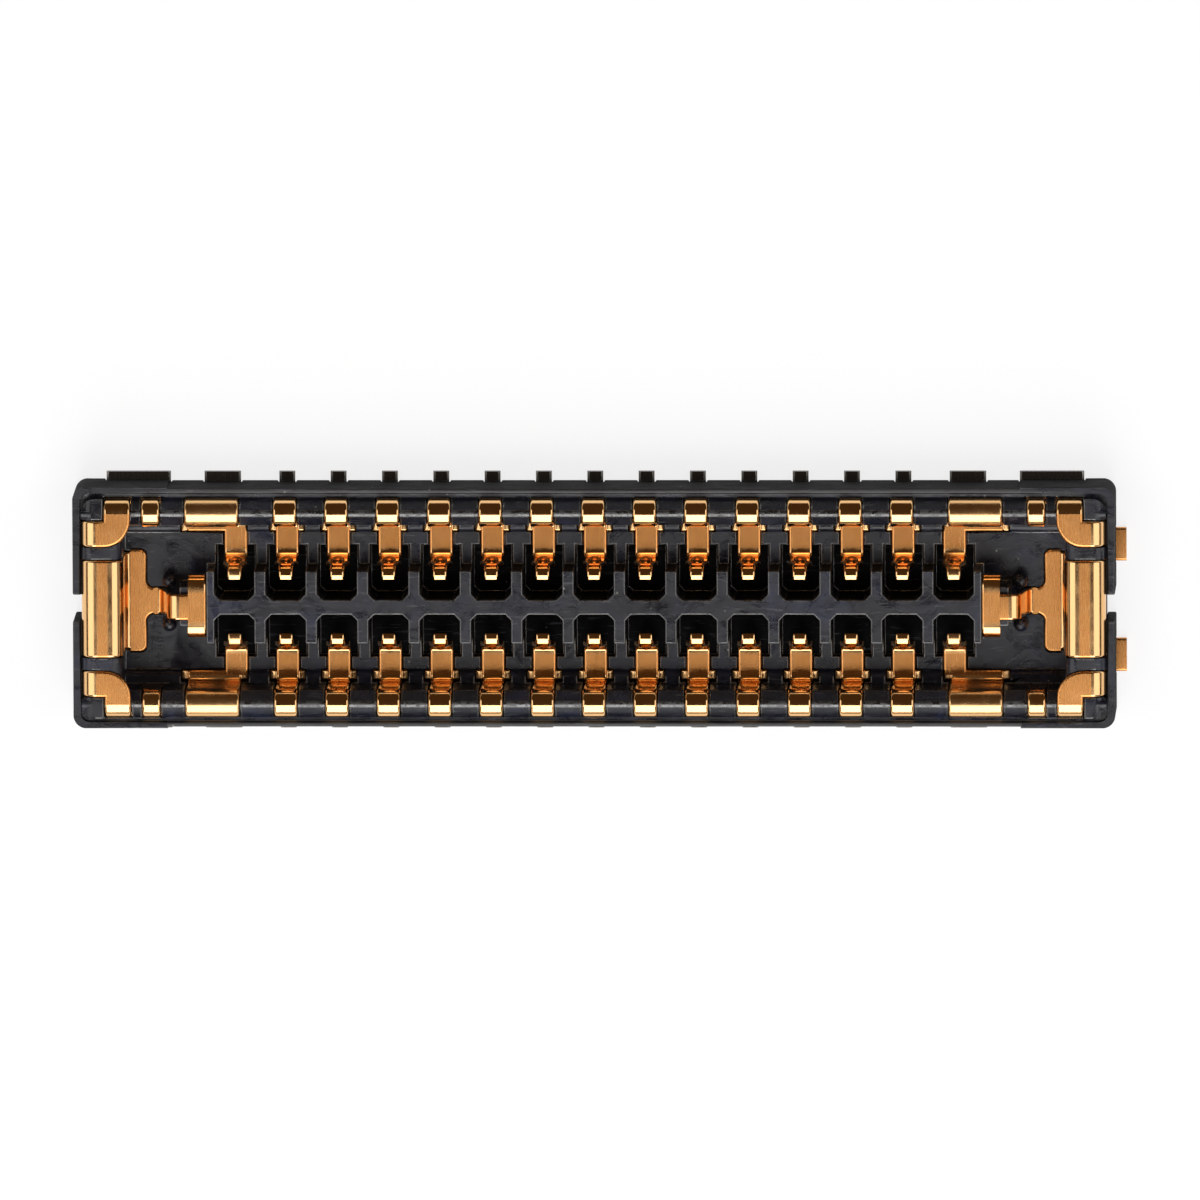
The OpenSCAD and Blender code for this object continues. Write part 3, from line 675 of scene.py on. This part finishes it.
def press_corner(bm, side, outer_y):
    """One corner: arms up the end and side walls, the hook, the solder tail and the plate."""
    wall = Vector((0, side, 0))
    inner = wall * (ROW_OUT - SHEET)
    press_strip(bm, (END_X - SHEET, side * (CORNER_Y - CORNER_WIDTH / 2), ROOT_TOP), UP, OUTWARD,
                both(CORNER_WIDTH), [(CREST_Z - ROOT_TOP, -90, CREST_RADIUS)])
    press_strip(bm, inner + Vector((CORNER_X, 0, ROOT_TOP)), UP, wall, both(CORNER_WIDTH), [
        (CREST_Z - ROOT_TOP, -90, CREST_RADIUS)])
    press_strip(bm, inner + Vector((HOOK_X, 0, ROOT_TOP)), UP, wall, both(HOOK_WIDTH), [
        (CREST_Z - ROOT_TOP, -180, CREST_RADIUS),
        (CREST_Z - HOOK_END, 0, 0)])
    press_strip(bm, (CORNER_FAR - HOLD_TAIL / 2, side * outer_y, 0), -wall, UP, both(HOLD_TAIL), [
        (outer_y - ROW_OUT - FOOT_RADIUS, 90, FOOT_RADIUS),
        (ROOT_TOP - ROOT_LOW, 0, 0)])
    press_plate(bm, [
        (END_JOINT, side * CORNER_IN, 0), (CORNER_NEAR, side * CORNER_IN, CORNER_WIDTH),
        (CORNER_NEAR, side * ROW_Y, 0), (CORNER_FAR, side * ROW_Y, 0),
        (CORNER_FAR, side * CORNER_Y, 0), (END_JOINT, side * CORNER_Y, 0)],
        CREST_TOP - SHEET, SHEET, EDGE_ROUND, joined=((2, 3), (5, 0)))


def press_hold_down(name, node, end, tabs):
    """The hold-down of the +X end, mirrored for the other end."""
    bm = new_sheet_metal()
    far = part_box(node)[1] / MM
    press_roll(bm)
    press_tongue(bm)
    press_strip(bm, (END_X - SHEET, 0, ROOT_LOW), UP, OUTWARD,
                both(2 * (ROW_OUT - 2 * CREST_RADIUS - SHEET)), [(ROOT_TOP - ROOT_LOW, 0, 0)])
    for side in (-1, 1):
        press_corner(bm, side, far.y)
        if tabs:
            press_strip(bm, (far.x, side * TAB_SPACING / 2, 0), -OUTWARD, UP, both(TAB_WIDTH), [
                (far.x - END_X - FOOT_RADIUS, 90, FOOT_RADIUS)])
    bmesh.ops.scale(bm, vec=(end * MM, MM, MM), verts=bm.verts)
    finish_piece(bm, name, [hold_down_gold], node)


press_hold_down("plated_hold_down_left", "hold_down_left", -1, tabs=False)
press_hold_down("plated_hold_down_right", "hold_down_right", 1, tabs=True)


# Studio: a white sweep under the part, a large softbox low at the foot of the
# picture, a smaller one at each side, a dim warm room, and a camera with a very
# long lens almost straight above.

# The sweep lies a hair below the part, so that no two faces coincide.
SWEEP_RADIUS = 400 * MM
SWEEP_HEIGHT = 40 * MM
SWEEP_DROP = 0.001 * MM
SWEEP_SIDES = 64
SWEEP_GLOW = 0.8
SOFTBOX_DISTANCE = 60 * MM
FOOT_LIGHT_LEAN = math.radians(-42)
FOOT_LIGHT_SIZE = (56 * MM, 66 * MM)
FOOT_LIGHT_RADIANCE = 3.25
SIDE_LIGHT_LEAN = math.radians(46)
SIDE_LIGHT_SIZE = (50 * MM, 50 * MM)
SIDE_LIGHT_RADIANCE = 1.45
ROOM_LEVEL = 0.055
FRAME_WIDTH = 8.18 * MM
CAMERA_DISTANCE = 300 * MM
CLIP_NEAR = 1 * MM
CLIP_FAR = 10000 * MM
AIM = Vector((0.027, -0.011, 0)) * MM
TILT_X = math.radians(2)
TILT_Y = math.radians(8)

sweep_mesh = bmesh.new()
bmesh.ops.create_circle(sweep_mesh, cap_ends=True, segments=SWEEP_SIDES, radius=SWEEP_RADIUS)
rim = [e for e in sweep_mesh.edges if e.is_boundary]
rim_wall = bmesh.ops.extrude_edge_only(sweep_mesh, edges=rim)["geom"]
rim_top = [v for v in rim_wall if isinstance(v, bmesh.types.BMVert)]
bmesh.ops.translate(sweep_mesh, vec=(0, 0, SWEEP_HEIGHT), verts=rim_top)
bmesh.ops.translate(sweep_mesh, vec=(0, 0, -SWEEP_DROP), verts=sweep_mesh.verts)
sweep_data = bpy.data.meshes.new("studio_sweep")
sweep_mesh.to_mesh(sweep_data)
sweep_mesh.free()
sweep = bpy.data.objects.new("studio_sweep", sweep_data)
bpy.context.scene.collection.objects.link(sweep)

# Matt white card. It shines a little for the eye and for reflections, so that it
# reads as white and still keeps the part's shadow.
card, tree = new_material("matt_white_card")
light_path = add_node(tree, "ShaderNodeLightPath", {})
mirrored = add_node(tree, "ShaderNodeMath", {
    0: light_path.outputs["Is Camera Ray"], 1: light_path.outputs["Is Glossy Ray"]}, operation="MAXIMUM")
seen = add_node(tree, "ShaderNodeMath", {
    0: mirrored.outputs["Value"], 1: light_path.outputs["Is Transmission Ray"]}, operation="MAXIMUM")
glow = add_node(tree, "ShaderNodeMath", {0: seen.outputs["Value"], 1: SWEEP_GLOW}, operation="MULTIPLY")
paper = add_node(tree, "ShaderNodeBsdfDiffuse", {"Color": linear("#818181")})
shine = add_node(tree, "ShaderNodeEmission", {"Color": grey(1), "Strength": glow.outputs["Value"]})
surface = add_node(tree, "ShaderNodeAddShader", {0: paper.outputs["BSDF"], 1: shine.outputs["Emission"]})
add_node(tree, "ShaderNodeOutputMaterial", {"Surface": surface.outputs["Shader"]})
sweep_data.materials.append(card)


def add_softbox(name, lean_x, lean_y, size, radiance):
    """A rectangular light that leans from the zenith and faces the part."""
    width, height = size
    lamp = bpy.data.lights.new(name, "AREA")
    lamp.shape = "RECTANGLE"
    lamp.size = width
    lamp.size_y = height
    lamp.energy = radiance * math.pi * width * height
    box = bpy.data.objects.new(name, lamp)
    turn = Matrix.Rotation(lean_x, 4, "Y") @ Matrix.Rotation(-lean_y, 4, "X")
    box.matrix_world = turn @ Matrix.Translation((0, 0, SOFTBOX_DISTANCE))
    box.visible_camera = False
    bpy.context.scene.collection.objects.link(box)


add_softbox("softbox_foot", 0, FOOT_LIGHT_LEAN, FOOT_LIGHT_SIZE, FOOT_LIGHT_RADIANCE)
add_softbox("softbox_left", -SIDE_LIGHT_LEAN, 0, SIDE_LIGHT_SIZE, SIDE_LIGHT_RADIANCE)
add_softbox("softbox_right", SIDE_LIGHT_LEAN, 0, SIDE_LIGHT_SIZE, SIDE_LIGHT_RADIANCE)

world = bpy.data.worlds.new("studio_room")
world.use_nodes = True
room = world.node_tree.nodes["Background"]
room.inputs["Color"].default_value = linear("#ffc689")
room.inputs["Strength"].default_value = ROOM_LEVEL
bpy.context.scene.world = world

lean = Vector((math.sin(TILT_X), math.sin(TILT_Y), 0))
toward = lean + UP * math.sqrt(1 - lean.length_squared)
right = (Vector((1, 0, 0)) - toward * toward.x).normalized()
upward = toward.cross(right)
camera_axes = Matrix((right, upward, toward)).transposed().to_4x4()
camera_data = bpy.data.cameras.new("camera")
camera_data.lens = camera_data.sensor_width * CAMERA_DISTANCE / FRAME_WIDTH
camera_data.clip_start = CLIP_NEAR
camera_data.clip_end = CLIP_FAR
camera = bpy.data.objects.new("camera", camera_data)
camera.matrix_world = Matrix.Translation(AIM + toward * CAMERA_DISTANCE) @ camera_axes
bpy.context.scene.collection.objects.link(camera)
bpy.context.scene.camera = camera
bpy.context.scene.view_settings.view_transform = "Standard"
